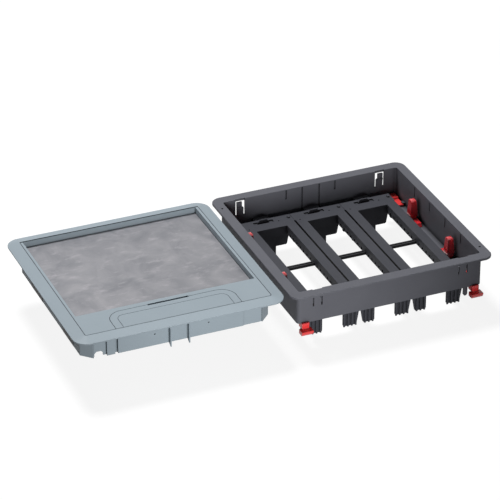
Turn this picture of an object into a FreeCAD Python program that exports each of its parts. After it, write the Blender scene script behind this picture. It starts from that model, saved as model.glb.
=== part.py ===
import FreeCAD, Part
import math, os

# Floor socket box for three eight-module frames, with its hinged cover lifted off beside it.
# Millimetres. +Z is up, +X to the right, +Y to the back. The origin is the centre of the box
# at floor level, which is the plane that the underside of the box flange rests on.

os.makedirs("parts", exist_ok=True)
V = FreeCAD.Vector

# ---------------------------------------------------------------- driving dimensions

# wiring modules and their frames
module_width = 22.5
module_height = 45.0
modules_per_frame = 8
frame_count = 3
frame_pitch = 75.6
frame_length = 232.0
frame_depth = 28.0            # frame top below floor level
frame_plate = 3.0
frame_clear = 0.2             # side clearance of each frame
relief_slot = 2.8             # visible slot between neighbouring frames
relief_end = 19.5             # frame end left at full width beyond the slot
opening_shift = -2.4          # the opening lies this much behind the middle of the frame
well_wall = 1.8               # wall round the module opening
front_room = 4.6              # the opening runs on in front of the modules
well_drop = 13.5              # depth of that wall below the frame top
side_drop = 7.0               # depth of the outer stiffening edges
notch_wide = 3.4
notch_tall = 4.0
notch_deep = 1.2
end_plate_thick = 2.2
end_plate_drop = 45.5         # ribbed end plates below the frame top
end_plate_left = (-35.1, -15.4)
end_plate_right = (14.6, 37.2)
end_plate_taper = 3.0
rear_plate = (-23.5, 12.0)
rear_plate_from_end = 15.0
rear_plate_drop = 54.5
rib_wide = 2.2
rib_proud = 1.3
rib_pitch = 5.6
cross_bar_wide = 6.0
cross_bar_tall = 4.0
tab_wide = 17.0
tab_rise = 4.2
tab_recess_long = 29.0
tab_from_middle = -4.0
tab_from_end = 8.0
key_half = 0.9                # half the side of the small square key holes

# box
channel_wide = 17.6           # between the outer frames and the side walls
end_gap = 13.4                # between the frame ends and the end walls
wall = 2.3
box_depth = 44.2              # wall bottom below floor level
cavity_corner = 3.0
flange_side = 14.0            # flange width beside the cavity
flange_end = 15.6             # flange width before and behind the cavity
flange_thick = 3.0
flange_corner = 14.5
edge_break = 0.7
ledge_thick = 2.2
side_ledge = 15.6
end_ledge = 11.6
seat_wide = 22.0              # brackets that carry the frame ends
seat_reach = 25.0
seat_web = 2.2
leg_wide = 6.0
leg_drop = 23.0
leg_thick = 2.4
leg_from_ledge = 2.0          # leg to the edge of the end ledge
screw_hole = 3.0
screw_inset_x = 7.0
screw_inset_y = 31.0

# snap tongues in the end walls
tongue_from_side = 25.9       # tongue centre to the side wall
tongue_window = 13.8
tongue_slot = 1.9
tongue_step = 2.4             # the tongue is narrower by this at its top
tongue_tall = 22.0
flange_notch = 1.5            # notch in the flange above each tongue

# grooves and ribs inside the walls
fin_groove_wide = 2.4
groove_deep = 1.2
short_groove_tall = 12.0
short_groove_from_fin = 23.9
side_rib_pitch = 47.2

# lock levers
lever_from_middle = 57.0
lever_from_wall = 9.2
lever_wide = 11.0
lever_thick = 11.5
lever_tall = 33.5
lever_foot_wide = 8.6
lever_arm = 20.0
lever_arm_wide = 6.5
lever_pin_radius = 1.5
lug_thick = 1.7
lug_radius = 4.2

# floor claws
claw_wide = 10.0
claw_bar_thick = 3.0
claw_bar_inside = 32.4        # bar length inside the end wall
claw_grip = 14.5
claw_riser = 3.0              # step of the bar down through the ledge
claw_travel = 5.0
claw_play = 0.4
claw_plate = 3.2
claw_web = 1.5
claw_drop = 9.0               # claw foot top below the top of its notch
claw_foot_wide = 16.4
claw_foot_reach = 7.5
claw_foot_tall = 6.0

# cover frame
cover_inset = 1.0             # cover flange inside the edge of the box flange, each side
cover_gap = 7.3               # the cover lies this far to the left of the box flange
cover_lift = 1.5              # underside of the cover flange above floor level, where it lies
cover_corner = 19.0
cover_edge = 1.5
crown_rise = 3.65             # the rim slopes up by this much towards the lid
crown_flat = 0.6
lid_gap = 0.4
lid_back_gap = 0.3
ledge_gap = 0.4
cover_ledge = 3.7
skirt_wall = 2.2
skirt_clear_side = 1.2        # cover skirt to the box side wall
skirt_clear_back = 0.4
front_skirt_set = 3.0         # front skirt set back behind the edge of the lid
skirt_drop = 33.5
skirt_collar = 9.0
skirt_chamfer = 14.0
fin_from_middle = 12.8
fin_thick = 1.6
fin_below = 4.5
fin_play = 0.4
clip_front = (-87.0, -46.0)
clip_back = (31.0, 77.0)
clip_thick = 1.2
clip_let_in = 0.8
clip_tall = 21.0
front_panel = (89.5, 115.6)   # recessed panel at the right of the front skirt
front_panel_deep = 1.2
front_slot = (-87.0, -83.0)   # slot at the left of the front skirt
front_hollow = (-116.0, -98.0)  # hollow beside it, at the corner
hollow_back = 3.8             # backing of slot and hollow behind the front face
low_arch = (-114.0, -102.0)   # arch at the bottom of the backing
low_arch_tall = 6.5

# lid
lid_in_side = 3.8             # lid edges inside the walls of the box
lid_in_front = 1.2
lid_in_back = 2.2
lid_corner = 2.0
side_strip = 3.7              # lid rim beside the recess
back_strip = 1.4
recess_deep = 8.7
front_panel_long = 48.2       # panel in front of the recess
plate_thick = 1.5
tray_floor = 2.0
lid_step = 0.5                # lid body to the inner edge of the ledge
hinge_round = 2.0             # rounded back edge of the lid, which turns about its pins
hinge_relief = 2.0
pin_play = 0.06
lid_pin_radius = 1.2
lid_pin_in_frame = 3.0
lid_pin_in_lid = 3.0

# lifting handle and cable flap
handle_half = 86.0
handle_long = 39.8            # back edge of the handle from the front of the lid
handle_corner = 20.0
handle_band = 10.1
leaf_thick = 3.0
leaf_round = 1.85             # rounded front edges of handle and flap
leaf_gap = 0.4
leaf_rest = 0.3
handle_pin_radius = 1.0
handle_pin_in_lid = 4.6
handle_pin_in_flap = 5.0
finger_slot_long = 57.0
finger_slot_wide = 3.4
finger_well = 12.0
cable_exit_inset = 7.0

# ---------------------------------------------------------------- derived sizes

frames_wide = frame_count * frame_pitch
cavity_x = frames_wide / 2 + channel_wide
cavity_y = frame_length / 2 + end_gap
outer_x = cavity_x + wall
outer_y = cavity_y + wall
flange_x = cavity_x + flange_side
flange_y = cavity_y + flange_end
frame_top = -frame_depth
frame_under = frame_top - frame_plate
ledge_top = -box_depth + ledge_thick
ledge_x = cavity_x - side_ledge
ledge_y = cavity_y - end_ledge
opening_x = module_height / 2
opening_y = module_width * modules_per_frame / 2
opening_front = opening_shift - opening_y
opening_back = opening_shift + opening_y
bar_low = frame_top - well_drop
frame_half = frame_pitch / 2 - frame_clear
frame_end = frame_length / 2
frame_places = [(i - (frame_count - 1) / 2) * frame_pitch for i in range(frame_count)]
corners = [(sx, sy) for sx in (-1, 1) for sy in (-1, 1)]
corner_names = {(-1, -1): "front_left", (-1, 1): "back_left", (1, -1): "front_right", (1, 1): "back_right"}

pivot_x = cavity_x - lever_from_wall
pivot_z = ledge_top + lug_radius
claw_x = cavity_x - side_ledge / 2
claw_bar_top = ledge_top + 0.2 + claw_bar_thick
notch_top = ledge_top - claw_play
claw_end = outer_y + 0.3
riser_out = claw_end - claw_travel

cover_x = flange_x - cover_inset
cover_y = flange_y - cover_inset
cover_centre = V(-(flange_x + cover_gap + cover_x), 0, cover_lift)
crown = cover_edge + crown_rise
lid_x = cavity_x - lid_in_side
lid_front = cavity_y - lid_in_front
lid_back = cavity_y - lid_in_back
recess_front = lid_front - front_panel_long
handle_back = lid_front - handle_long
well_x = lid_x + lid_gap
well_front = lid_front + lid_gap
well_back = lid_back + lid_back_gap
lid_under = crown - crown_rise
cover_ledge_top = lid_under - ledge_gap
recess_floor = crown - recess_deep
tray_under = recess_floor - plate_thick - tray_floor
recess_x = lid_x - side_strip
recess_back = lid_back - back_strip
tray_x = recess_x + 1.1
cover_ledge_x = tray_x + lid_step
skirt_x = cavity_x - skirt_clear_side
skirt_back = cavity_y - skirt_clear_back
skirt_front = lid_front - front_skirt_set
tray_front = skirt_front - skirt_wall - lid_step
hinge_y = lid_back - hinge_round
hinge_z = crown - hinge_round
leaf_hinge_y = -(lid_front - leaf_round)
leaf_hinge_z = crown - leaf_round
leaf_under = crown - leaf_thick
pocket_floor = leaf_under - leaf_rest
flap_half = handle_half - handle_band - leaf_gap
flap_back = handle_back + handle_band + leaf_gap
flap_corner = handle_corner - handle_band - leaf_gap


# ---------------------------------------------------------------- shape helpers

def block(x0, x1, y0, y1, z0, z1):
    """Box between two corners, given in any order."""
    low = V(min(x0, x1), min(y0, y1), min(z0, z1))
    return Part.makeBox(abs(x1 - x0), abs(y1 - y0), abs(z1 - z0), low)


def rounded_outline(x0, x1, y0, y1, radius, z):
    """Rectangle with rounded corners, as a closed wire at height z."""
    d = radius * (1 - math.sqrt(0.5))
    r = radius
    points = [V(x0 + r, y0, z), V(x1 - r, y0, z), V(x1 - d, y0 + d, z), V(x1, y0 + r, z),
              V(x1, y1 - r, z), V(x1 - d, y1 - d, z), V(x1 - r, y1, z),
              V(x0 + r, y1, z), V(x0 + d, y1 - d, z), V(x0, y1 - r, z),
              V(x0, y0 + r, z), V(x0 + d, y0 + d, z)]
    edges = []
    for k in range(4):
        start = points[(3 * k) % 12]
        line_end = points[3 * k + 1]
        edges.append(Part.LineSegment(start, line_end).toShape())
        edges.append(Part.Arc(line_end, points[3 * k + 2], points[(3 * k + 3) % 12]).toShape())
    return Part.Wire(edges)


def rounded_slab(x0, x1, y0, y1, radius, z0, z1):
    face = Part.Face(rounded_outline(x0, x1, y0, y1, radius, z0))
    return face.extrude(V(0, 0, z1 - z0))


def prism(points, direction):
    """Straight-sided solid on a closed outline of points."""
    return Part.Face(Part.makePolygon(points + [points[0]])).extrude(direction)


def rod(start, direction, length, radius):
    return Part.makeCylinder(radius, length, start, direction)


def mirrored(shape, sx, sy):
    """The same shape in the quarter given by the signs."""
    if sx < 0:
        shape = shape.mirror(V(0, 0, 0), V(1, 0, 0))
    if sy < 0:
        shape = shape.mirror(V(0, 0, 0), V(0, 1, 0))
    return shape


def edges_where(shape, test):
    """Edges whose every vertex passes the test."""
    return [e for e in shape.Edges if all(test(v.Point) for v in e.Vertexes)]


def near(a, b):
    return abs(a - b) < 1e-4


def save(name, shape):
    solids = shape.Solids
    clean = solids[0] if len(solids) == 1 else Part.makeCompound(solids)
    clean.exportStep("parts/" + name + ".step")


# ---------------------------------------------------------------- the box

def box_shell():
    """Flange, walls and the ledge round the open bottom, as one moulding."""
    flange = rounded_slab(-flange_x, flange_x, -flange_y, flange_y, flange_corner, 0, flange_thick)
    rim = edges_where(flange, lambda p: near(p.z, flange_thick))
    flange = flange.makeChamfer(edge_break, rim)
    corner = cavity_corner + wall
    walls = rounded_slab(-outer_x, outer_x, -outer_y, outer_y, corner, -box_depth, 0.5)
    shell = flange.fuse(walls)
    cavity = rounded_slab(-cavity_x, cavity_x, -cavity_y, cavity_y, cavity_corner,
                          ledge_top, flange_thick + 1)
    below = block(-ledge_x, ledge_x, -ledge_y, ledge_y, -box_depth - 1, ledge_top + 1)
    return shell.cut([cavity, below])


def frame_seat(place):
    """Bracket that carries one frame end: a shelf on two webs, standing on the back ledge."""
    x0 = place - seat_wide / 2
    x1 = place + seat_wide / 2
    y0 = cavity_y - seat_reach
    shelf = block(x0, x1, y0, cavity_y + 0.5, frame_under - seat_web, frame_under)
    profile = [V(x0, y0, frame_under), V(x0, cavity_y + 0.5, frame_under),
               V(x0, cavity_y + 0.5, -box_depth), V(x0, ledge_y, -box_depth),
               V(x0, y0, frame_under - 2 * seat_web)]
    web = prism(profile, V(seat_web, 0, 0))
    other = web.translated(V(seat_wide - seat_web, 0, 0))
    return shelf.fuse([web, other])


def snap_tongue():
    """Springy tongue in the back right of the end wall, with the slot round it to cut away."""
    middle = cavity_x - tongue_from_side
    half = tongue_window / 2
    window = block(middle - half, middle + half, cavity_y - 1, outer_y + 1, -tongue_tall, -0.4)
    notch = block(middle - half, middle + half, cavity_y - 1, cavity_y + flange_notch, -1, flange_thick + 1)
    side = half - tongue_slot
    narrow = middle - side + tongue_step
    outline = [V(middle - side, cavity_y, -tongue_tall - 1), V(middle + side, cavity_y, -tongue_tall - 1),
               V(middle + side, cavity_y, -tongue_slot), V(narrow, cavity_y, -tongue_slot),
               V(narrow, cavity_y, -9), V(middle - side, cavity_y, -11)]
    tongue = prism(outline, V(0, wall, 0))
    hook = [V(narrow, cavity_y + 0.2, -14.0), V(narrow, cavity_y - 1.2, -9.5), V(narrow, cavity_y + 0.2, -8.5)]
    barb = prism(hook, V(middle + side - narrow, 0, 0))
    return window.fuse(notch), tongue.fuse(barb)


def lever_lugs():
    """Two lugs on the side ledge, back right, that hold one lever pin."""
    inner = pivot_x - lever_foot_wide / 2 - 0.4
    outer = pivot_x + lever_foot_wide / 2 + 0.4
    lugs = []
    for x0, x1 in ((inner - lug_thick, inner), (outer, cavity_x + 0.5)):
        outline = [V(x0, lever_from_middle - lug_radius, ledge_top - 0.5),
                   V(x0, lever_from_middle - lug_radius, pivot_z + 0.3 * lug_radius),
                   V(x0, lever_from_middle - 0.5 * lug_radius, pivot_z + lug_radius),
                   V(x0, lever_from_middle + 0.5 * lug_radius, pivot_z + lug_radius),
                   V(x0, lever_from_middle + lug_radius, pivot_z + 0.3 * lug_radius),
                   V(x0, lever_from_middle + lug_radius, ledge_top - 0.5)]
        lugs.append(prism(outline, V(x1 - x0, 0, 0)))
    return lugs[0].fuse(lugs[1])


def claw_guides():
    """Two hooked guides on the side ledge, back right, that hold one claw bar down."""
    y0 = cavity_y - claw_bar_inside + 1.0
    y1 = y0 + 6.0
    half = claw_wide / 2 + 0.3
    lip = 1.4
    outer = block(claw_x + half, cavity_x + 0.5, y0, y1, ledge_top - 0.5, claw_bar_top + 1.6)
    outer_lip = block(claw_x + half - lip, claw_x + half + 0.5, y0, y1, claw_bar_top + 0.3, claw_bar_top + 1.6)
    inner = block(claw_x - half - 1.8, claw_x - half, y0, y1, ledge_top - 0.5, claw_bar_top + 1.6)
    inner_lip = block(claw_x - half - 0.5, claw_x - half + lip, y0, y1, claw_bar_top + 0.3, claw_bar_top + 1.6)
    return outer.fuse([outer_lip, inner, inner_lip])


def claw_notch():
    """Way through the ledge and under the end wall for one claw, back right."""
    half = claw_wide / 2 + 0.5
    y0 = riser_out - claw_riser - claw_travel - 0.6
    under_wall = block(claw_x - half, claw_x + half, y0, outer_y + 1, -box_depth - 1, notch_top)
    return under_wall.fuse(block(claw_x - half, claw_x + half, y0, cavity_y, notch_top - 1, ledge_top + 1))


def corner_leg():
    """Narrow leg with a bevelled tip, hanging from the side ledge at the back right."""
    x0 = ledge_x + 0.1
    y0 = ledge_y - leg_from_ledge - leg_thick
    tip = -box_depth - leg_drop
    bevel = leg_wide / 4
    outline = [V(x0, y0, ledge_top - 0.5), V(x0, y0, tip + 1.5 * bevel), V(x0 + bevel, y0, tip),
               V(x0 + leg_wide - bevel, y0, tip), V(x0 + leg_wide, y0, tip + 1.5 * bevel),
               V(x0 + leg_wide, y0, ledge_top - 0.5)]
    return prism(outline, V(0, leg_thick, 0))


def wall_grooves():
    """Grooves in both end walls: a long pair for the cover fins and a short pair beside them."""
    cuts = []
    short_x = fin_from_middle + short_groove_from_fin
    for sx in (-1, 1):
        for sy in (-1, 1):
            for place, low in ((fin_from_middle, ledge_top + 6), (short_x, -short_groove_tall)):
                x0 = sx * place - fin_groove_wide / 2
                cuts.append(block(x0, x0 + fin_groove_wide, sy * (cavity_y - 1),
                                  sy * (cavity_y + groove_deep), low, flange_thick - 1.0))
    return cuts


def side_ribs():
    """Short upright ribs high on both side walls."""
    ribs = []
    for sx in (-1, 1):
        for step in (-1.5, -0.5, 0.5, 1.5):
            y0 = step * side_rib_pitch
            ribs.append(block(sx * (cavity_x - 0.7), sx * (cavity_x + 0.5), y0 - 0.8, y0 + 0.8,
                              -short_groove_tall, 1.0))
    return ribs


def box_frame():
    body = box_shell()
    slots = []
    added = []
    for sx, sy in corners:
        window, tongue = snap_tongue()
        slots += [mirrored(window, sx, sy), mirrored(claw_notch(), sx, sy)]
        added += [mirrored(tongue, sx, sy), mirrored(lever_lugs(), sx, sy),
                  mirrored(claw_guides(), sx, sy), mirrored(corner_leg(), sx, sy)]
    for place in frame_places:
        added += [frame_seat(place), mirrored(frame_seat(place), 1, -1)]
    body = body.cut(slots + wall_grooves())
    body = body.fuse(added + side_ribs())
    pin_holes = [rod(V(sx * (ledge_x - 1), sy * lever_from_middle, pivot_z), V(sx, 0, 0),
                     side_ledge + 1.3, lever_pin_radius + 0.02) for sx, sy in corners]
    screw_x = flange_x - screw_inset_x
    screw_y = flange_y - screw_inset_y
    screws = [rod(V(s * screw_x, -s * screw_y, -1), V(0, 0, 1), flange_thick + 2, screw_hole / 2)
              for s in (-1, 1)]
    return body.cut(pin_holes + screws).removeSplitter()


def lever_pins():
    length = side_ledge - 0.2
    pins = [rod(V(sx * (ledge_x + 0.2), sy * lever_from_middle, pivot_z), V(sx, 0, 0),
                length, lever_pin_radius) for sx, sy in corners]
    return Part.makeCompound(pins)


# ---------------------------------------------------------------- module frames

def well_notches(y_side):
    """Small catches sunk along the bottom of one long wall of the opening."""
    cuts = []
    pitch = module_width / 2
    bottom = frame_top - well_drop
    for i in range(modules_per_frame * 2 - 1):
        y0 = opening_front + pitch * (i + 1)
        if abs(y0 - opening_shift) > cross_bar_wide:
            x0 = y_side * (opening_x - 0.5)
            cuts.append(block(x0, y_side * (opening_x + notch_deep), y0 - notch_wide / 2,
                              y0 + notch_wide / 2, bottom + 0.8, bottom + 0.8 + notch_tall))
    return cuts


def end_plate(limits, sy):
    """Ribbed plate hanging from one end of a frame, with its outer lower corner tapered."""
    x0, x1 = limits
    bottom = frame_top - end_plate_drop
    outer_is_right = x0 > 0
    left_in = 0 if outer_is_right else end_plate_taper
    right_in = end_plate_taper if outer_is_right else 0
    y0 = sy * (frame_end - end_plate_thick)
    outline = [V(x0, y0, frame_top - 1), V(x0, y0, bottom + 18), V(x0 + left_in, y0, bottom + 1.5),
               V(x0 + left_in + 1.5, y0, bottom), V(x1 - right_in - 1.5, y0, bottom),
               V(x1 - right_in, y0, bottom + 1.5), V(x1, y0, bottom + 18), V(x1, y0, frame_top - 1)]
    plate = prism(outline, V(0, sy * end_plate_thick, 0))
    ribs = []
    count = int((x1 - x0 - end_plate_taper - rib_wide) / rib_pitch)
    first = (x0 + left_in + x1 - right_in) / 2 - count * rib_pitch / 2
    for i in range(count + 1):
        middle = first + i * rib_pitch
        ribs.append(block(middle - rib_wide / 2, middle + rib_wide / 2, sy * (frame_end - 0.5),
                          sy * (frame_end + rib_proud), bottom - 0.6, frame_top - well_drop - 2))
    return plate.fuse(ribs)


def finger_tab():
    """Upright tab on the back strip for lifting the frame out, in its own oblong recess."""
    y0 = frame_end - tab_from_end
    half_recess = tab_recess_long / 2
    x0 = tab_from_middle - tab_wide / 2
    x1 = tab_from_middle + tab_wide / 2
    recess = block(tab_from_middle - half_recess, tab_from_middle + half_recess, y0 - 3.2, y0 + 3.2,
                   frame_top - 1.6, frame_top + 1)
    outline = [V(x0, y0, frame_top - 2), V(x0, y0, frame_top), V(x0 + 3.5, y0, frame_top + tab_rise),
               V(x1 - 3.5, y0, frame_top + tab_rise), V(x1, y0, frame_top), V(x1, y0, frame_top - 2)]
    return recess, prism(outline, V(0, 1.8, 0))


def module_frame(place):
    """Frame for one row of wiring modules, seen from above: plate, opening well, stiffening edges
    and the ribbed plates that hang at both ends."""
    slim = frame_pitch / 2 - relief_slot / 2
    slot_end = frame_end - relief_end
    top = block(-frame_half, frame_half, -frame_end, frame_end, frame_under, frame_top)
    edge_under = frame_top - side_drop
    edges = [block(s * slim, s * (slim - well_wall), -slot_end, slot_end, edge_under, frame_top)
             for s in (-1, 1)]
    well = block(-opening_x - well_wall, opening_x + well_wall, opening_front - front_room - well_wall,
                 opening_back + well_wall, frame_top - well_drop, frame_top)
    plates = [end_plate(limits, sy) for limits in (end_plate_left, end_plate_right) for sy in (-1, 1)]
    rear_y = frame_end - rear_plate_from_end
    rear = block(rear_plate[0], rear_plate[1], rear_y, rear_y + 2.0, frame_top - rear_plate_drop, frame_top - 1)
    recess, tab = finger_tab()
    body = top.fuse(edges + [well] + plates + [rear])
    opening = block(-opening_x, opening_x, opening_front - front_room, opening_back, frame_top - well_drop - 1, frame_top + 1)
    reliefs = [block(s * slim, s * (frame_half + 1), -slot_end, slot_end, frame_under - 1, frame_top + 1)
               for s in (-1, 1)]
    bar_seat = block(-opening_x - well_wall - 1, opening_x + well_wall + 1, opening_shift - cross_bar_wide / 2,
                     opening_shift + cross_bar_wide / 2, bar_low, bar_low + cross_bar_tall)
    notches = well_notches(-1) + well_notches(1)
    small_holes = [block(x - key_half, x + key_half, y - key_half, y + key_half, frame_top - 5, frame_top + 3)
                   for x, y in ((tab_from_middle - 26, frame_end - 20), (tab_from_middle + 21, frame_end - 12))]
    body = body.cut([opening, bar_seat, recess] + reliefs + notches + small_holes).fuse(tab)
    hook = block(frame_half - 6.0, frame_half - 3.0, frame_end - 10, frame_end - 6, frame_top - 0.5, frame_top + 1.6)
    body = body.fuse(hook).removeSplitter()
    return body.translated(V(place, 0, 0))


def cross_bar(place):
    """Grooved bar across the middle of the opening, let into slots in its long walls."""
    half = opening_x + well_wall
    top = bar_low + cross_bar_tall
    bar = block(-half, half, -cross_bar_wide / 2, cross_bar_wide / 2, bar_low, top)
    groove = block(-opening_x + 1.5, opening_x - 1.5, -0.9, 0.9, top - 1.6, top + 1)
    return bar.cut(groove).translated(V(place, opening_shift, 0))


# ---------------------------------------------------------------- lock levers and floor claws

def thumb_profile(low_half, high_half, z0, z1, crown_share):
    """Half-round topped outline, narrowing upwards, as pairs of width and height."""
    rise = high_half * crown_share
    points = [(low_half, z0)]
    for step in range(5):
        angle = math.radians(step * 22.5)
        points.append((high_half * math.cos(angle), z1 - rise + rise * math.sin(angle)))
    return points + [(-w, z) for w, z in reversed(points[:-1])]


def lock_lever(sx, sy):
    """Thumb lever on a pin across the side channel, with a locking arm towards the middle."""
    foot_half = lever_foot_wide / 2
    shoulder = pivot_z + lug_radius + 1.0
    top = ledge_top + lever_tall
    depth = lever_thick / 2
    side_view = thumb_profile(depth, depth - 1.0, shoulder, top, 0.9)
    front_view = thumb_profile(lever_wide / 2, lever_wide / 2 - 1.6, shoulder, top, 0.5)
    along_x = [V(-lever_wide, y, z) for y, z in side_view]
    along_y = [V(x, -lever_thick, z) for x, z in front_view]
    thumb = prism(along_x, V(2 * lever_wide, 0, 0)).common(prism(along_y, V(0, 2 * lever_thick, 0)))
    foot = block(-foot_half, foot_half, -depth + 0.6, depth - 0.6, pivot_z, shoulder + 1)
    hub = rod(V(-foot_half, 0, pivot_z), V(1, 0, 0), lever_foot_wide, lug_radius - 0.4)
    arm_x = foot_half - lever_arm_wide
    arm = block(arm_x, foot_half, -lever_arm, 0, ledge_top + 0.4, pivot_z + 1.0)
    nose = [V(arm_x, -lever_arm, ledge_top + 0.4), V(arm_x, -lever_arm - 3, ledge_top + 0.4),
            V(arm_x, -lever_arm, pivot_z + 1.0)]
    lever = thumb.fuse([foot, hub, arm, prism(nose, V(lever_arm_wide, 0, 0))])
    bore = rod(V(-lever_wide, 0, pivot_z), V(1, 0, 0), 2 * lever_wide, lever_pin_radius + pin_play)
    lever = lever.cut(bore).removeSplitter()
    return mirrored(lever.translated(V(pivot_x, lever_from_middle, 0)), sx, sy)


def floor_claw(sx, sy):
    """Sliding claw: a bar with a thumb grip in the side channel, stepped down through the ledge, a
    webbed plate outside the end wall and a foot that takes hold under the floor."""
    half = claw_wide / 2
    low = ledge_top + 0.2
    inner = cavity_y - claw_bar_inside
    plate_out = claw_end + claw_plate
    under_top = notch_top - claw_play
    under_low = under_top - claw_plate
    foot_top = notch_top - claw_drop
    foot_under = foot_top - claw_foot_tall
    riser_in = riser_out - claw_riser
    bar = block(-half, half, inner, riser_out, low, claw_bar_top)
    riser = block(-half, half, riser_in, riser_out, under_low, claw_bar_top)
    under = block(-half, half, riser_in, plate_out, under_low, under_top)
    grip_0 = cavity_y - claw_grip - 1.0
    grip = [V(-half, grip_0, claw_bar_top - 0.5), V(-half, grip_0 + 1.5, claw_bar_top + 2.2),
            V(-half, riser_out, claw_bar_top + 2.8), V(-half, riser_out, claw_bar_top - 0.5)]
    plate = block(-half, half, claw_end, plate_out, foot_under, under_top)
    webs = [block(s * half, s * (half - claw_web), riser_in, claw_end + 0.5, foot_top, under_low + 0.5)
            for s in (-1, 1)]
    foot_half = claw_foot_wide / 2
    foot_out = plate_out + claw_foot_reach
    foot = [V(-foot_half, claw_end, foot_under), V(-foot_half, foot_out - 2.0, foot_under),
            V(-foot_half, foot_out, foot_top - 2.2), V(-foot_half, foot_out, foot_top),
            V(-foot_half, claw_end, foot_top)]
    claw = bar.fuse([riser, under, prism(grip, V(claw_wide, 0, 0)), plate, prism(foot, V(claw_foot_wide, 0, 0))]
                    + webs).removeSplitter()
    return mirrored(claw.translated(V(claw_x, 0, 0)), sx, sy)


# ---------------------------------------------------------------- cover frame

def cover_rim():
    """Flange of the cover, sloping up to the lid, with the ledge that the lid lies on."""
    edge = rounded_slab(-cover_x, cover_x, -cover_y, cover_y, cover_corner, 0, cover_edge)
    low = rounded_outline(-cover_x, cover_x, -cover_y, cover_y, cover_corner, cover_edge)
    top_x = well_x + crown_flat
    top_y = well_front + crown_flat
    high = rounded_outline(-top_x, top_x, -top_y, top_y, lid_corner + lid_gap + crown_flat, crown)
    slope = Part.makeLoft([low, high], True, True)
    ledge = block(-skirt_x, skirt_x, -skirt_back, skirt_back, cover_ledge_top - cover_ledge, 0.5)
    rim = edge.fuse([slope, ledge])
    well = rounded_slab(-well_x, well_x, -well_front, well_back, lid_corner + lid_gap,
                        cover_ledge_top, crown + 1)
    inner = block(-cover_ledge_x, cover_ledge_x, -(skirt_front - skirt_wall), well_back,
                  cover_ledge_top - cover_ledge - 1, cover_ledge_top + 1)
    reliefs = [block(s * cover_ledge_x, s * well_x, hinge_y - hinge_round, well_back,
                     cover_ledge_top - hinge_relief, cover_ledge_top + 1) for s in (-1, 1)]
    square_back = block(-well_x, well_x, hinge_y - hinge_round, well_back, cover_ledge_top, crown + 1)
    return rim.cut([well, inner, square_back] + reliefs)


def skirt_outline(x, front, back, chamfer, z):
    return [V(-x + chamfer, -front, z), V(x - chamfer, -front, z), V(x, -front + chamfer, z),
            V(x, back - chamfer, z), V(x - chamfer, back, z), V(-x + chamfer, back, z),
            V(-x, back - chamfer, z), V(-x, -front + chamfer, z)]


def cover_skirt():
    """Skirt that hangs in the box: a square collar under the rim, corner gussets, and a deeper
    wall with its corners cut off."""
    low = -skirt_drop
    up = V(0, 0, skirt_drop - skirt_collar)
    inner_chamfer = skirt_chamfer - skirt_wall * (2 - math.sqrt(2))
    outer = prism(skirt_outline(skirt_x, skirt_front, skirt_back, skirt_chamfer, low), up)
    hollow = prism(skirt_outline(skirt_x - skirt_wall, skirt_front - skirt_wall, skirt_back - skirt_wall,
                                 inner_chamfer, low - 1), up + V(0, 0, 2))
    walls = outer.cut(hollow)
    collar = block(-skirt_x, skirt_x, -skirt_front, skirt_back, -skirt_collar, 0.5)
    room = block(-skirt_x + skirt_wall, skirt_x - skirt_wall, -skirt_front + skirt_wall,
                 skirt_back - skirt_wall + 0.4, -skirt_collar - 1, 1)
    collar = collar.cut(room)
    parts = [collar]
    for sx in (-1, 1):
        for y, sy in ((-skirt_front, -1), (skirt_back, 1)):
            corner = [V(sx * skirt_x, y, -skirt_collar), V(sx * (skirt_x - skirt_chamfer - 2), y, -skirt_collar),
                      V(sx * skirt_x, y - sy * (skirt_chamfer + 2), -skirt_collar)]
            parts.append(prism(corner, V(0, 0, 1.4)))
    return walls.fuse(parts)


def skirt_details():
    """Fins that run in the long grooves of the box, and the panels and slots of the front skirt."""
    fins = []
    cuts = []
    bottom = -skirt_drop - fin_below
    groove_end = cavity_y + groove_deep - fin_play
    for sx in (-1, 1):
        x0 = sx * fin_from_middle - fin_thick / 2
        front = [V(x0, -skirt_front + 0.5, 0.2), V(x0, -groove_end, 0.2), V(x0, -groove_end, bottom),
                 V(x0, -skirt_front + skirt_wall, -skirt_drop)]
        back = [V(x0, skirt_back - 0.5, 0.2), V(x0, groove_end, 0.2), V(x0, groove_end, bottom),
                V(x0, skirt_back - skirt_wall, -skirt_drop)]
        fins += [prism(front, V(fin_thick, 0, 0)), prism(back, V(fin_thick, 0, 0))]
    wall_in = -skirt_front + skirt_wall + 1
    cuts.append(block(front_panel[0], front_panel[1], -skirt_front - 1, -skirt_front + front_panel_deep,
                      -skirt_drop - 1, -skirt_collar))
    cuts.append(block(front_slot[0], front_slot[1], -skirt_front - 1, wall_in, -skirt_drop - 1,
                      -skirt_collar - 2))
    cuts.append(block(front_hollow[0], front_hollow[1], -skirt_front - 1, wall_in, -skirt_drop - 1,
                      -skirt_collar - 2))
    for x in (-33.0, 41.0):
        cuts.append(block(x - key_half, x + key_half, -skirt_front - 1, -skirt_front + 0.8,
                          -skirt_drop / 2 - key_half, -skirt_drop / 2 + key_half))
    for s in (-1, 1):
        for y0, y1 in (clip_front, clip_back):
            cuts.append(block(s * (skirt_x - clip_let_in), s * (skirt_x + 1), y0, y1, -skirt_drop - 1,
                              -skirt_drop + clip_tall))
    return fins, cuts


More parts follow.
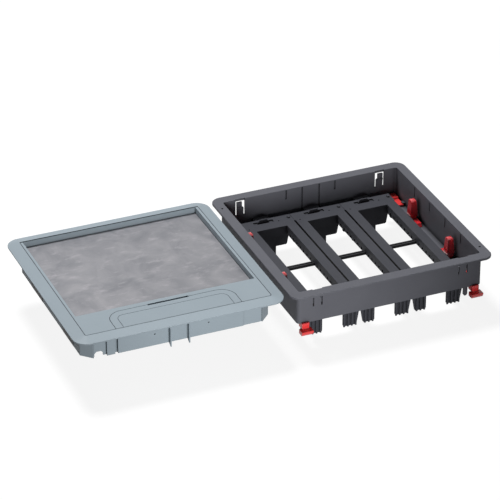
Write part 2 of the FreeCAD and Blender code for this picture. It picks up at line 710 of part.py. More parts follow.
def corner_backing():
    """Box behind the slot and the hollow at the left of the front skirt, with a low arch in it."""
    x0 = front_hollow[0] - 2.0
    x1 = front_slot[1] + skirt_wall
    y0 = -skirt_front + skirt_wall - 0.3
    y1 = -skirt_front + hollow_back
    top = tray_under - lid_step
    back = block(x0, x1, y1, y1 + skirt_wall - 0.4, -skirt_drop, top)
    sides = [block(x, x + 2.0, y0, y1 + 0.5, -skirt_drop, top) for x in (x0, x1 - 2.0)]
    middle = (low_arch[0] + low_arch[1]) / 2
    half = (low_arch[1] - low_arch[0]) / 2
    arch = [V(middle - half, y1 - 1, -skirt_drop - 1), V(middle - half, y1 - 1, -skirt_drop + low_arch_tall - 3),
            V(middle - half + 3, y1 - 1, -skirt_drop + low_arch_tall),
            V(middle + half - 3, y1 - 1, -skirt_drop + low_arch_tall),
            V(middle + half, y1 - 1, -skirt_drop + low_arch_tall - 3), V(middle + half, y1 - 1, -skirt_drop - 1)]
    return back.fuse(sides).cut(prism(arch, V(0, skirt_wall + 2, 0)))


def cover_frame():
    fins, cuts = skirt_details()
    body = cover_rim().fuse(cover_skirt()).cut(cuts).fuse(fins + [corner_backing()])
    pin_holes = [rod(V(s * (lid_x - 1), hinge_y, hinge_z), V(s, 0, 0), 1 + lid_gap + lid_pin_in_frame + 0.1,
                     lid_pin_radius + 0.02) for s in (-1, 1)]
    return body.cut(pin_holes).removeSplitter().translated(cover_centre)


def side_clip(sx, sy):
    """Dark clip let into the side skirt and hooked round its lower edge."""
    y0, y1 = clip_back if sy > 0 else clip_front
    x = skirt_x - clip_let_in
    out = x + clip_thick
    top = -skirt_drop + clip_tall
    inside = skirt_x - skirt_wall
    profile = [V(x, y0, top), V(out - 0.5, y0, top), V(out, y0, top - 2.5), V(out, y0, -skirt_drop + 2),
               V(x + 0.5, y0, -skirt_drop - 1.0), V(inside - 1.0, y0, -skirt_drop - 1.0),
               V(inside - 1.0, y0, -skirt_drop + 5), V(inside, y0, -skirt_drop + 5),
               V(inside, y0, -skirt_drop), V(x, y0, -skirt_drop)]
    return mirrored(prism(profile, V(0, y1 - y0, 0)), sx, 1).translated(cover_centre)


# ---------------------------------------------------------------- lid, plate, handle and flap

def u_plate(half, back, radius, z0, z1):
    """Plate that is rounded at its two back corners and square at the front edge of the lid."""
    tongue = rounded_slab(-half, half, -lid_front - radius - 1, -back, radius, z0, z1)
    front = block(-half - 1, half + 1, -lid_front - 2 * radius - 2, leaf_hinge_y, z0 - 1, z1 + 1)
    return tongue.cut(front)


def lid():
    """Tray with a floor-covering recess and, in front of it, a panel with the handle pocket,
    the finger well and the way out for the cables."""
    slab = rounded_slab(-lid_x, lid_x, -lid_front, lid_back + lid_corner, lid_corner, lid_under, crown)
    slab = slab.cut(block(-lid_x - 1, lid_x + 1, lid_back, lid_back + lid_corner + 1, lid_under - 1, crown + 1))
    back_edge = edges_where(slab, lambda p: near(p.z, crown) and near(p.y, lid_back))
    slab = slab.makeFillet(hinge_round - 0.02, back_edge)
    tray = block(-tray_x, tray_x, -tray_front, lid_back - 0.2, tray_under, lid_under + 1)
    body = slab.fuse(tray)
    recess = block(-recess_x, recess_x, -recess_front, recess_back, recess_floor - plate_thick, crown + 1)
    under_0 = tray_under - 1
    hollow = block(-recess_x, recess_x, -tray_front + 2.0, -recess_front - 2.0, under_0, pocket_floor - 2.0)
    pocket = rounded_slab(-handle_half - leaf_gap, handle_half + leaf_gap, -lid_front - handle_corner - 2,
                          -handle_back + leaf_gap, handle_corner + leaf_gap, pocket_floor, crown + 1)
    front_way = block(-handle_half - leaf_gap, handle_half + leaf_gap, -lid_front - 1, -tray_front + 2.0,
                      lid_under - 1, crown + 1)
    cable_half = flap_half - cable_exit_inset
    cable_way = block(-cable_half, cable_half, -tray_front + 2.0, -flap_back - 4.0, under_0, crown + 1)
    slot = rounded_slab(-finger_slot_long / 2, finger_slot_long / 2, -handle_back - finger_slot_wide / 2,
                        -handle_back + finger_slot_wide / 2, finger_slot_wide / 2 - 0.01, pocket_floor - 1, crown + 1)
    pocket_wall = 2.0
    well_0 = -handle_back - finger_well + finger_slot_wide / 2
    well_1 = -handle_back + finger_slot_wide / 2
    well_box = block(-finger_slot_long / 2 - pocket_wall, finger_slot_long / 2 + pocket_wall,
                     well_0 - pocket_wall, well_1 + pocket_wall, tray_under, pocket_floor - 1)
    well_room = block(-finger_slot_long / 2, finger_slot_long / 2, well_0, well_1,
                      tray_under + pocket_wall, pocket_floor + 1)
    body = body.cut([recess, hollow]).fuse(well_box)
    body = body.cut([pocket, front_way, cable_way, slot, well_room])
    ribs = [block(x - 0.8, x + 0.8, -tray_front + 1.0, -recess_front - 1.0, tray_under, pocket_floor - 1.0)
            for x in (-handle_half - 10, handle_half + 10, -cable_half - 3.0, cable_half + 3.0)]
    body = body.fuse(ribs)
    hinge_holes = [rod(V(s * (lid_x + 1), hinge_y, hinge_z), V(-s, 0, 0), 1 + lid_pin_in_lid + 0.1,
                       lid_pin_radius + pin_play) for s in (-1, 1)]
    handle_holes = [rod(V(s * (handle_half - 1), leaf_hinge_y, leaf_hinge_z), V(s, 0, 0),
                        1 + leaf_gap + handle_pin_in_lid + 0.1, handle_pin_radius + 0.02) for s in (-1, 1)]
    return body.cut(hinge_holes + handle_holes).removeSplitter().translated(cover_centre)


def lid_plate():
    """Sheet-metal plate laid into the bottom of the recess."""
    play = 0.3
    plate = block(-recess_x + play, recess_x - play, -recess_front + play, recess_back - play,
                  recess_floor - plate_thick, recess_floor)
    return plate.translated(cover_centre)


def lid_pins():
    length = lid_pin_in_frame + lid_gap + lid_pin_in_lid
    pins = [rod(V(s * (lid_x - lid_pin_in_lid), hinge_y, hinge_z), V(s, 0, 0), length, lid_pin_radius)
            for s in (-1, 1)]
    return Part.makeCompound(pins).translated(cover_centre)


def turning_edge(half_0, half_1):
    """Round front edge of a leaf, which turns about the handle pins."""
    return rod(V(half_0, leaf_hinge_y, leaf_hinge_z), V(1, 0, 0), half_1 - half_0, leaf_round)


def handle_bore(half):
    return rod(V(-half - 1, leaf_hinge_y, leaf_hinge_z), V(1, 0, 0), 2 * half + 2, handle_pin_radius + pin_play)


def lift_handle():
    """U-shaped handle, flush in the lid, with a scoop at its back edge for the fingers."""
    outer = u_plate(handle_half, handle_back, handle_corner, leaf_under, crown)
    inner_half = handle_half - handle_band
    inner = u_plate(inner_half, handle_back + handle_band, handle_corner - handle_band,
                    leaf_under - 1, crown + 1)
    body = outer.cut(inner.fuse(block(-inner_half, inner_half, leaf_hinge_y - 1, leaf_hinge_y + 1,
                                      leaf_under - 1, crown + 1)))
    ends = [turning_edge(-handle_half, -inner_half), turning_edge(inner_half, handle_half)]
    scoop = rounded_slab(-finger_slot_long / 2, finger_slot_long / 2, -handle_back - finger_slot_wide / 2,
                         -handle_back + finger_slot_wide / 2, finger_slot_wide / 2 - 0.01,
                         leaf_under - 1, crown + 1)
    return body.fuse(ends).cut([handle_bore(handle_half), scoop]).removeSplitter().translated(cover_centre)


def cable_flap():
    """Flap over the cable outlet, inside the handle and on the same pins."""
    leaf = u_plate(flap_half, flap_back, flap_corner, leaf_under, crown)
    edge = turning_edge(-flap_half, flap_half)
    bores = [rod(V(s * (flap_half + 1), leaf_hinge_y, leaf_hinge_z), V(-s, 0, 0), 1 + handle_pin_in_flap + 0.2,
                 handle_pin_radius + pin_play) for s in (-1, 1)]
    return leaf.fuse(edge).cut(bores).removeSplitter().translated(cover_centre)


def handle_pins():
    start = flap_half - handle_pin_in_flap
    end = handle_half + leaf_gap + handle_pin_in_lid
    pins = [rod(V(s * start, leaf_hinge_y, leaf_hinge_z), V(s, 0, 0), end - start, handle_pin_radius)
            for s in (-1, 1)]
    return Part.makeCompound(pins).translated(cover_centre)


# ---------------------------------------------------------------- all nodes

def main():
    save("box_frame", box_frame())
    save("lever_pins", lever_pins())
    for number, place in enumerate(frame_places, 1):
        save("module_frame_%d" % number, module_frame(place))
        save("cross_bar_%d" % number, cross_bar(place))
    for sx, sy in corners:
        name = corner_names[(sx, sy)]
        save("lock_lever_" + name, lock_lever(sx, sy))
        save("floor_claw_" + name, floor_claw(sx, sy))
        save("side_clip_" + name, side_clip(sx, sy))
    save("cover_frame", cover_frame())
    save("lid", lid())
    save("lid_plate", lid_plate())
    save("lid_pins", lid_pins())
    save("lift_handle", lift_handle())
    save("cable_flap", cable_flap())
    save("handle_pins", handle_pins())


main()
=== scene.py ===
import bmesh
import bpy
from mathutils import Matrix, Vector


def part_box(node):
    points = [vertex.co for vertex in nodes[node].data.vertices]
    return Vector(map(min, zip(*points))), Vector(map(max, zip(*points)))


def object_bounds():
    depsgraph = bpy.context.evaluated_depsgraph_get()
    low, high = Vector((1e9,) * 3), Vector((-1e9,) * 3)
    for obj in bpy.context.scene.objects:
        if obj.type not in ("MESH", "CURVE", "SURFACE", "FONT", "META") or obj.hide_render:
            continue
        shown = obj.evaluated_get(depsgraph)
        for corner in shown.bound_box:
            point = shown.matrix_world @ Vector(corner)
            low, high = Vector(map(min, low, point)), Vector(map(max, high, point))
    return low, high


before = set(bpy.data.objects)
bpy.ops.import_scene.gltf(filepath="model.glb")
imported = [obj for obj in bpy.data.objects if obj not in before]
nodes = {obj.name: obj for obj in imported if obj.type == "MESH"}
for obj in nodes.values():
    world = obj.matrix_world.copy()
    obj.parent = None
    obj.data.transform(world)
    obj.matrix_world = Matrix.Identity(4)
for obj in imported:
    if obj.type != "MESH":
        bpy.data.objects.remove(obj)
cad_low, cad_high = [list(corner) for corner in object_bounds()]
scene = bpy.context.scene
scene.view_settings.view_transform = "Standard"


# ------------------------------------------------------------------ camera
# A long lens far off, above the left front, so that the box and the cover lying at its left
# both show their fronts and their open tops.
back = Vector((-0.336, -0.798, 0.4996)).normalized()
right = Vector((0.9216, -0.388, 0.0)).normalized()
up = back.cross(right)
flange_top = Vector((0.0, 0.0, 0.003))
aim = flange_top + right * -0.13363 + up * -0.03038
camera_distance = 3.866
lens = bpy.data.cameras.new("camera")
lens.lens = 207.14
lens.sensor_width = 36.0
lens.clip_start, lens.clip_end = 0.1, 100.0
camera = bpy.data.objects.new("camera", lens)
scene.collection.objects.link(camera)
camera_turn = Matrix((right, up, back)).transposed().to_4x4()
camera.matrix_world = Matrix.Translation(aim + back * camera_distance) @ camera_turn
scene.camera = camera


# ------------------------------------------------------------------ studio
# A pale floor under a white sky. What is seen of them directly, or in gloss, is white; the light
# that they throw on the object is low, so that the lamps model its walls.
def seen_directly(tree):
    """1 for camera, glossy and transmitted rays, 0 for all other rays."""
    path = tree.nodes.new("ShaderNodeLightPath")
    mirrored = tree.nodes.new("ShaderNodeMath")
    mirrored.operation = "MAXIMUM"
    any_seen = tree.nodes.new("ShaderNodeMath")
    any_seen.operation = "MAXIMUM"
    tree.links.new(path.outputs["Is Camera Ray"], mirrored.inputs[0])
    tree.links.new(path.outputs["Is Glossy Ray"], mirrored.inputs[1])
    tree.links.new(mirrored.outputs[0], any_seen.inputs[0])
    tree.links.new(path.outputs["Is Transmission Ray"], any_seen.inputs[1])
    return any_seen.outputs[0]


def strength_by_ray(tree, thrown, seen, socket):
    """One strength for the light thrown on the object, another for what is seen."""
    share = tree.nodes.new("ShaderNodeMapRange")
    share.inputs["To Min"].default_value = thrown
    share.inputs["To Max"].default_value = seen
    tree.links.new(seen_directly(tree), share.inputs["Value"])
    tree.links.new(share.outputs["Result"], socket)


world = bpy.data.worlds.new("studio sky")
world.use_nodes = True
scene.world = world
sky = world.node_tree.nodes["Background"]
sky.inputs["Color"].default_value = (1.0, 1.0, 1.0, 1)
strength_by_ray(world.node_tree, 0.03, 1.0, sky.inputs["Strength"])

floor_drop = 0.0015
floor_centre = (-0.15, 0.0, cad_low[2] - floor_drop)
floor_mesh = bmesh.new()
bmesh.ops.create_grid(floor_mesh, x_segments=1, y_segments=1, size=6.0,
                      matrix=Matrix.Translation(floor_centre))
floor_data = bpy.data.meshes.new("studio floor")
floor_mesh.to_mesh(floor_data)
floor_mesh.free()
studio_floor = bpy.data.objects.new("studio floor", floor_data)
scene.collection.objects.link(studio_floor)
floor_paint = bpy.data.materials.new("studio floor white")
floor_paint.use_nodes = True
floor_tree = floor_paint.node_tree
floor_shader = floor_tree.nodes["Principled BSDF"]
floor_shader.inputs["Base Color"].default_value = (0.16, 0.16, 0.16, 1)
floor_shader.inputs["Roughness"].default_value = 1.0
floor_shader.inputs["Specular IOR Level"].default_value = 0.0
floor_shader.inputs["Emission Color"].default_value = (1, 1, 1, 1)
strength_by_ray(floor_tree, 0.0, 0.88, floor_shader.inputs["Emission Strength"])
floor_data.materials.append(floor_paint)


def aimed(name, data, place, towards):
    """Hang a lamp at a place and point it at another."""
    lamp = bpy.data.objects.new(name, data)
    lamp.location = place
    way = Vector(towards) - Vector(place)
    lamp.rotation_euler = way.to_track_quat("-Z", "Y").to_euler()
    scene.collection.objects.link(lamp)


overhead = bpy.data.lights.new("lamp overhead", "AREA")
overhead.shape = "DISK"
overhead.size = 0.9
overhead.energy = 102
aimed("lamp overhead", overhead, (-0.45, 1.1, 2.9), (-0.15, 0, 0))
front_spot = bpy.data.lights.new("lamp in front", "SPOT")
front_spot.energy = 58
front_spot.shadow_soft_size = 0.12
front_spot.spot_size = 0.62
front_spot.spot_blend = 1.0
aimed("lamp in front", front_spot, (-0.36, -1.35, 0.09), (-0.2, -0.14, -0.02))


# ------------------------------------------------------------------ box
# The box is one anthracite moulding: flange, walls, brackets and guides, with the fine matt
# grain that the tool leaves. The steel pins of the red levers are pressed into its lugs.
def new_group(name, inputs, outputs):
    """Empty node group with these sockets, and its two end nodes."""
    group = bpy.data.node_groups.new(name, "ShaderNodeTree")
    for label, kind, value in inputs:
        socket = group.interface.new_socket(name=label, in_out="INPUT", socket_type=kind)
        socket.default_value = value
    for label, kind in outputs:
        group.interface.new_socket(name=label, in_out="OUTPUT", socket_type=kind)
    enter = group.nodes.new("NodeGroupInput")
    leave = group.nodes.new("NodeGroupOutput")
    return group, enter, leave


def add(tree, kind, **settings):
    """New node in a tree, with its settings."""
    node = tree.nodes.new(kind)
    for key, value in settings.items():
        setattr(node, key, value)
    return node


def moulded_grain():
    """Tool grain of moulded plastic: a fine pebble, soft cloudy shade and uneven gloss."""
    group, enter, leave = new_group(
        "moulded grain",
        [("Colour", "NodeSocketColor", (0.5, 0.5, 0.5, 1)),
         ("Pale Colour", "NodeSocketColor", (0.6, 0.6, 0.6, 1)),
         ("Grain per Metre", "NodeSocketFloat", 1800.0), ("Cloud", "NodeSocketFloat", 0.4),
         ("Roughness", "NodeSocketFloat", 0.5), ("Gloss Spread", "NodeSocketFloat", 0.08)],
        [("Colour", "NodeSocketColor"), ("Roughness", "NodeSocketFloat"),
         ("Height", "NodeSocketFloat")])
    tree, link = group, group.links.new
    place = add(tree, "ShaderNodeTexCoord")
    pebble = add(tree, "ShaderNodeTexNoise")
    pebble.inputs["Detail"].default_value = 2.0
    link(place.outputs["Object"], pebble.inputs["Vector"])
    link(enter.outputs["Grain per Metre"], pebble.inputs["Scale"])
    cloud = add(tree, "ShaderNodeTexNoise")
    cloud.inputs["Scale"].default_value = 22.0
    cloud.inputs["Detail"].default_value = 4.0
    link(place.outputs["Object"], cloud.inputs["Vector"])
    spread = add(tree, "ShaderNodeMapRange")
    spread.inputs["From Min"].default_value = 0.3
    spread.inputs["From Max"].default_value = 0.7
    link(cloud.outputs["Fac"], spread.inputs["Value"])
    amount = add(tree, "ShaderNodeMath", operation="MULTIPLY")
    link(spread.outputs["Result"], amount.inputs[0])
    link(enter.outputs["Cloud"], amount.inputs[1])
    fleck = add(tree, "ShaderNodeMath", operation="MULTIPLY_ADD")
    fleck.inputs[1].default_value = 0.25
    link(pebble.outputs["Fac"], fleck.inputs[0])
    link(amount.outputs[0], fleck.inputs[2])
    shade = add(tree, "ShaderNodeMix", data_type="RGBA")
    link(fleck.outputs[0], shade.inputs["Factor"])
    link(enter.outputs["Colour"], shade.inputs["A"])
    link(enter.outputs["Pale Colour"], shade.inputs["B"])
    gloss = add(tree, "ShaderNodeMath", operation="MULTIPLY_ADD")
    link(pebble.outputs["Fac"], gloss.inputs[0])
    link(enter.outputs["Gloss Spread"], gloss.inputs[1])
    link(enter.outputs["Roughness"], gloss.inputs[2])
    link(shade.outputs["Result"], leave.inputs["Colour"])
    link(gloss.outputs[0], leave.inputs["Roughness"])
    link(pebble.outputs["Fac"], leave.inputs["Height"])
    return group


grain_group = moulded_grain()


def dress(node_names, material):
    """Give these pieces one material."""
    for name in node_names:
        node = nodes[name]
        node.data.materials.clear()
        node.data.materials.append(material)


def moulded_plastic(name, colour, pale, grain, cloud, roughness, gloss_spread, depth, edge,
                    specular=0.5, painted_shade_reach=0.003, painted_shade_clear=0.85):
    """Plastic with the tool grain as a bump, edges eased by the mould, and painted shade darkening
    creases, recesses and narrow joints.
    """
    material = bpy.data.materials.new(name)
    material.use_nodes = True
    tree = material.node_tree
    shader = tree.nodes["Principled BSDF"]
    shader.inputs["Specular IOR Level"].default_value = specular
    grain_node = add(tree, "ShaderNodeGroup", node_tree=grain_group)
    grain_node.inputs["Colour"].default_value = (*colour, 1)
    grain_node.inputs["Pale Colour"].default_value = (*pale, 1)
    grain_node.inputs["Grain per Metre"].default_value = grain
    grain_node.inputs["Cloud"].default_value = cloud
    grain_node.inputs["Roughness"].default_value = roughness
    grain_node.inputs["Gloss Spread"].default_value = gloss_spread
    eased = add(tree, "ShaderNodeBevel", samples=6)
    eased.inputs["Radius"].default_value = edge
    bump = add(tree, "ShaderNodeBump")
    bump.inputs["Strength"].default_value = depth
    bump.inputs["Distance"].default_value = 0.0002
    tree.links.new(grain_node.outputs["Height"], bump.inputs["Height"])
    tree.links.new(eased.outputs["Normal"], bump.inputs["Normal"])
    tree.links.new(bump.outputs["Normal"], shader.inputs["Normal"])
    # Painted shade: ambient occlusion darkens the colour in creases, recesses and narrow joints,
    # where shade falls.
    joint = add(tree, "ShaderNodeAmbientOcclusion", samples=8)
    joint.inputs["Distance"].default_value = painted_shade_reach
    depth_of_shade = add(tree, "ShaderNodeMapRange")
    depth_of_shade.inputs["From Min"].default_value = 0.35
    depth_of_shade.inputs["From Max"].default_value = painted_shade_clear
    tree.links.new(joint.outputs["AO"], depth_of_shade.inputs["Value"])
    shaded = add(tree, "ShaderNodeMix", data_type="RGBA", blend_type="MULTIPLY")
    shaded.inputs["Factor"].default_value = 1.0
    tree.links.new(grain_node.outputs["Colour"], shaded.inputs["A"])
    tree.links.new(depth_of_shade.outputs["Result"], shaded.inputs["B"])
    tree.links.new(shaded.outputs["Result"], shader.inputs["Base Color"])
    tree.links.new(grain_node.outputs["Roughness"], shader.inputs["Roughness"])
    return material


anthracite = moulded_plastic(
    "anthracite moulding", (0.112, 0.114, 0.132), (0.134, 0.137, 0.156), grain=1700, cloud=0.5,
    roughness=0.5, gloss_spread=0.12, depth=0.35, edge=0.0004, specular=0.12,
    painted_shade_reach=0.009, painted_shade_clear=0.95)
dress(["box_frame"], anthracite)


def drawn_steel():
    """Bright drawn wire, with fine lines round it."""
    material = bpy.data.materials.new("drawn pin steel")
    material.use_nodes = True
    tree = material.node_tree
    shader = tree.nodes["Principled BSDF"]
    shader.inputs["Metallic"].default_value = 1.0
    place = add(tree, "ShaderNodeTexCoord")
    stretch = add(tree, "ShaderNodeMapping")
    stretch.inputs["Scale"].default_value = (3.0, 60.0, 60.0)
    lines = add(tree, "ShaderNodeTexNoise")
    lines.inputs["Scale"].default_value = 90.0
    shade = add(tree, "ShaderNodeValToRGB")
    shade.color_ramp.elements[0].color = (0.42, 0.42, 0.44, 1)
    shade.color_ramp.elements[1].color = (0.66, 0.66, 0.68, 1)
    rough = add(tree, "ShaderNodeMapRange")
    rough.inputs["To Min"].default_value = 0.25
    rough.inputs["To Max"].default_value = 0.45
    tree.links.new(place.outputs["Object"], stretch.inputs["Vector"])
    tree.links.new(stretch.outputs["Vector"], lines.inputs["Vector"])
    tree.links.new(lines.outputs["Fac"], shade.inputs["Fac"])
    tree.links.new(lines.outputs["Fac"], rough.inputs["Value"])
    tree.links.new(shade.outputs["Color"], shader.inputs["Base Color"])
    tree.links.new(rough.outputs["Result"], shader.inputs["Roughness"])
    return material


pin_steel = drawn_steel()
dress(["lever_pins", "lid_pins", "handle_pins"], pin_steel)


# ------------------------------------------------------------------ module frames
# Three like frames clipped on the brackets of the box, each with a black grooved bar across its
# opening.
# Their anthracite is coloured darker than the box's, as painted shade for their tops lying low
# inside it.
anthracite_painted_shade = moulded_plastic(
    "anthracite moulding with painted shade", (0.05, 0.052, 0.062), (0.066, 0.068, 0.08), grain=1700, cloud=0.5,
    roughness=0.5, gloss_spread=0.12, depth=0.35, edge=0.0003, specular=0.12,
    painted_shade_reach=0.007, painted_shade_clear=0.92)
black_plastic = moulded_plastic(
    "black moulding", (0.022, 0.022, 0.025), (0.034, 0.034, 0.038), grain=1500, cloud=0.5,
    roughness=0.46, gloss_spread=0.1, depth=0.3, edge=0.0003, specular=0.15)
dress(["module_frame_1", "module_frame_2", "module_frame_3"], anthracite_painted_shade)
dress(["cross_bar_1", "cross_bar_2", "cross_bar_3"], black_plastic)


# ------------------------------------------------------------------ lock levers and claws
# Moulded in red plastic. The thumb levers are polished and turn on pins in the side channels;
# the claws have a satin finish and slide out under the floor.
def red_moulding(name, colour, pale, roughness, coat):
    """Red plastic with a smooth skin over a faint grain."""
    material = moulded_plastic(name, colour, pale, grain=900, cloud=0.4, roughness=roughness,
                               gloss_spread=0.06, depth=0.12, edge=0.0006)
    shader = material.node_tree.nodes["Principled BSDF"]
    shader.inputs["Coat Weight"].default_value = coat
    shader.inputs["Coat Roughness"].default_value = 0.12
    return material


lever_red = red_moulding("polished red moulding", (0.66, 0.02, 0.03), (0.8, 0.035, 0.045),
                         roughness=0.22, coat=1.0)
claw_red = red_moulding("satin red moulding", (0.74, 0.035, 0.036), (0.85, 0.05, 0.05),
                        roughness=0.34, coat=0.2)
corner_names = ["front_left", "back_left", "front_right", "back_right"]
dress(["lock_lever_" + corner for corner in corner_names], lever_red)
dress(["floor_claw_" + corner for corner in corner_names], claw_red)


# ------------------------------------------------------------------ cover frame, lid, handle, flap
# All four are moulded in the same satin blue-grey plastic, with a very fine grain. Dark clips
# grip the skirt, and the lid turns on two steel pins at its back edge. A soft dark line along
# each narrow joint stands for the shade in it.
def painted_joint_shade_line():
    """Mask of a thin line along a rounded rectangle, on the faces above a height."""
    group, enter, leave = new_group(
        "painted joint shade line",
        [("Middle", "NodeSocketVector", (0, 0, 0)), ("Half Size", "NodeSocketVector", (0.1, 0.1, 0)),
         ("Corner", "NodeSocketFloat", 0.002), ("Half Width", "NodeSocketFloat", 0.0005),
         ("Lowest", "NodeSocketFloat", 0.0)],
        [("Mask", "NodeSocketFloat")])
    tree, link = group, group.links.new
    place = add(tree, "ShaderNodeTexCoord")
    from_middle = add(tree, "ShaderNodeVectorMath", operation="SUBTRACT")
    link(place.outputs["Object"], from_middle.inputs[0])
    link(enter.outputs["Middle"], from_middle.inputs[1])
    quarter = add(tree, "ShaderNodeVectorMath", operation="ABSOLUTE")
    link(from_middle.outputs[0], quarter.inputs[0])
    past_edge = add(tree, "ShaderNodeVectorMath", operation="SUBTRACT")
    link(quarter.outputs[0], past_edge.inputs[0])
    link(enter.outputs["Half Size"], past_edge.inputs[1])
    axes = add(tree, "ShaderNodeSeparateXYZ")
    link(past_edge.outputs[0], axes.inputs[0])
    shifted = []
    for axis in ("X", "Y"):
        shift = add(tree, "ShaderNodeMath", operation="ADD")
        link(axes.outputs[axis], shift.inputs[0])
        link(enter.outputs["Corner"], shift.inputs[1])
        shifted.append(shift.outputs[0])
    outside = add(tree, "ShaderNodeCombineXYZ")
    for value, socket in zip(shifted, ("X", "Y")):
        positive = add(tree, "ShaderNodeMath", operation="MAXIMUM")
        positive.inputs[1].default_value = 0.0
        link(value, positive.inputs[0])
        link(positive.outputs[0], outside.inputs[socket])
    reach = add(tree, "ShaderNodeVectorMath", operation="LENGTH")
    link(outside.outputs[0], reach.inputs[0])
    larger = add(tree, "ShaderNodeMath", operation="MAXIMUM")
    link(shifted[0], larger.inputs[0])
    link(shifted[1], larger.inputs[1])
    inside = add(tree, "ShaderNodeMath", operation="MINIMUM")
    inside.inputs[1].default_value = 0.0
    link(larger.outputs[0], inside.inputs[0])
    both = add(tree, "ShaderNodeMath", operation="ADD")
    link(reach.outputs["Value"], both.inputs[0])
    link(inside.outputs[0], both.inputs[1])
    distance = add(tree, "ShaderNodeMath", operation="SUBTRACT")
    link(both.outputs[0], distance.inputs[0])
    link(enter.outputs["Corner"], distance.inputs[1])
    size = add(tree, "ShaderNodeMath", operation="ABSOLUTE")
    link(distance.outputs[0], size.inputs[0])
    line = add(tree, "ShaderNodeMapRange", interpolation_type="SMOOTHSTEP")
    line.inputs["To Min"].default_value = 1.0
    line.inputs["To Max"].default_value = 0.0
    link(size.outputs[0], line.inputs["Value"])
    link(enter.outputs["Half Width"], line.inputs["From Max"])
    height = add(tree, "ShaderNodeSeparateXYZ")
    link(place.outputs["Object"], height.inputs[0])
    upper = add(tree, "ShaderNodeMath", operation="GREATER_THAN")
    link(height.outputs["Z"], upper.inputs[0])
    link(enter.outputs["Lowest"], upper.inputs[1])
    on_top = add(tree, "ShaderNodeMath", operation="MULTIPLY")
    link(line.outputs["Result"], on_top.inputs[0])
    link(upper.outputs[0], on_top.inputs[1])
    link(on_top.outputs[0], leave.inputs["Mask"])
    return group


line_group = painted_joint_shade_line()
half_joint = 0.0002
leaf_thickness = 0.003
past_front = 0.2


def shade_joint(material, leaf, corner, half_width, depth, front_open):
    """Paint shade into a material along the joint round one leaf; an open front has no line of its
    own.
    """
    tree = material.node_tree
    base_colour = tree.nodes["Principled BSDF"].inputs["Base Color"]
    low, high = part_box(leaf)
    front = low[1] - (past_front if front_open else 0.0)
    line = add(tree, "ShaderNodeGroup", node_tree=line_group)
    line.inputs["Middle"].default_value = ((low[0] + high[0]) / 2, (front + high[1]) / 2, 0)
    line.inputs["Half Size"].default_value = ((high[0] - low[0]) / 2 + half_joint,
                                              (high[1] - front) / 2 + half_joint, 0)
    line.inputs["Corner"].default_value = corner
    line.inputs["Half Width"].default_value = half_width
    line.inputs["Lowest"].default_value = high[2] - leaf_thickness
    share = add(tree, "ShaderNodeMath", operation="MULTIPLY")
    share.inputs[1].default_value = depth
    tree.links.new(line.outputs["Mask"], share.inputs[0])
    # Painted shade: the colour darkens along the thin gap round the leaf.
    dark = add(tree, "ShaderNodeMix", data_type="RGBA")
    dark.inputs["B"].default_value = (0.035, 0.045, 0.055, 1)
    tree.links.new(share.outputs[0], dark.inputs["Factor"])
    tree.links.new(base_colour.links[0].from_socket, dark.inputs["A"])
    tree.links.new(dark.outputs["Result"], base_colour)


blue_grey = moulded_plastic(
    "blue-grey moulding", (0.29, 0.345, 0.385), (0.315, 0.372, 0.412), grain=2200, cloud=0.45,
    roughness=0.46, gloss_spread=0.12, depth=0.25, edge=0.0005, specular=0.22)
shade_joint(blue_grey, "lid", corner=0.0022, half_width=0.0009, depth=0.9, front_open=False)
dress(["cover_frame"], blue_grey)
blue_grey_lid = blue_grey.copy()
blue_grey_lid.name = "blue-grey moulding of the lid"
shade_joint(blue_grey_lid, "lift_handle", corner=0.0204, half_width=0.0008, depth=0.85,
            front_open=True)
shade_joint(blue_grey_lid, "cable_flap", corner=0.0099, half_width=0.0007, depth=0.6,
            front_open=True)
dress(["lid", "lift_handle", "cable_flap"], blue_grey_lid)
dress(["side_clip_" + corner for corner in corner_names], black_plastic)


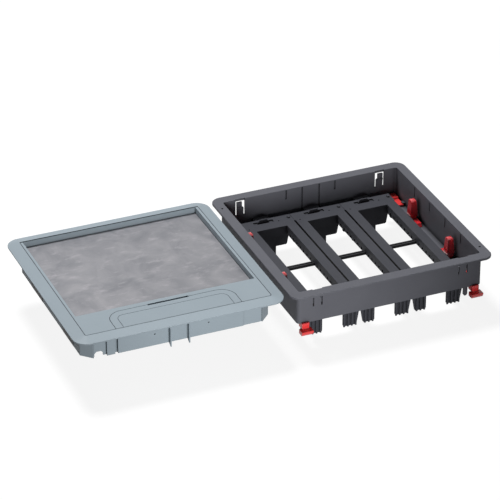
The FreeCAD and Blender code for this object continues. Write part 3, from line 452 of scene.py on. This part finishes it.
# ------------------------------------------------------------------ lid plate
# A sheet of galvanised steel laid loose in the recess of the lid: cloudy zinc with short paler
# flecks.
def zinc_sheet():
    """Rolled and galvanised sheet, uneven in shade and gloss."""
    material = bpy.data.materials.new("galvanised sheet")
    material.use_nodes = True
    tree = material.node_tree
    link = tree.links.new
    shader = tree.nodes["Principled BSDF"]
    place = add(tree, "ShaderNodeTexCoord")
    clouds = add(tree, "ShaderNodeTexNoise")
    clouds.inputs["Scale"].default_value = 24.0
    clouds.inputs["Detail"].default_value = 7.0
    clouds.inputs["Roughness"].default_value = 0.62
    clouds.inputs["Distortion"].default_value = 0.6
    link(place.outputs["Object"], clouds.inputs["Vector"])
    stretch = add(tree, "ShaderNodeMapping")
    stretch.inputs["Scale"].default_value = (0.6, 1.3, 1.0)
    stretch.inputs["Rotation"].default_value = (0, 0, 0.25)
    link(place.outputs["Object"], stretch.inputs["Vector"])
    flecks = add(tree, "ShaderNodeTexNoise")
    flecks.inputs["Scale"].default_value = 70.0
    flecks.inputs["Detail"].default_value = 6.0
    flecks.inputs["Roughness"].default_value = 0.7
    link(stretch.outputs["Vector"], flecks.inputs["Vector"])
    base = add(tree, "ShaderNodeValToRGB")
    base.color_ramp.elements[0].position = 0.32
    base.color_ramp.elements[0].color = (0.148, 0.152, 0.168, 1)
    base.color_ramp.elements[1].position = 0.68
    base.color_ramp.elements[1].color = (0.245, 0.243, 0.258, 1)
    link(clouds.outputs["Fac"], base.inputs["Fac"])
    fleck_mask = add(tree, "ShaderNodeMapRange")
    fleck_mask.inputs["From Min"].default_value = 0.54
    fleck_mask.inputs["From Max"].default_value = 0.72
    fleck_mask.inputs["To Max"].default_value = 0.5
    link(flecks.outputs["Fac"], fleck_mask.inputs["Value"])
    shade = add(tree, "ShaderNodeMix", data_type="RGBA")
    shade.inputs["B"].default_value = (0.36, 0.345, 0.365, 1)
    link(fleck_mask.outputs["Result"], shade.inputs["Factor"])
    link(base.outputs["Color"], shade.inputs["A"])
    rough = add(tree, "ShaderNodeMapRange")
    rough.inputs["To Min"].default_value = 0.42
    rough.inputs["To Max"].default_value = 0.68
    link(clouds.outputs["Fac"], rough.inputs["Value"])
    bump = add(tree, "ShaderNodeBump")
    bump.inputs["Strength"].default_value = 0.15
    bump.inputs["Distance"].default_value = 0.0002
    link(flecks.outputs["Fac"], bump.inputs["Height"])
    link(bump.outputs["Normal"], shader.inputs["Normal"])
    link(shade.outputs["Result"], shader.inputs["Base Color"])
    link(rough.outputs["Result"], shader.inputs["Roughness"])
    shader.inputs["Metallic"].default_value = 0.35
    return material


dress(["lid_plate"], zinc_sheet())
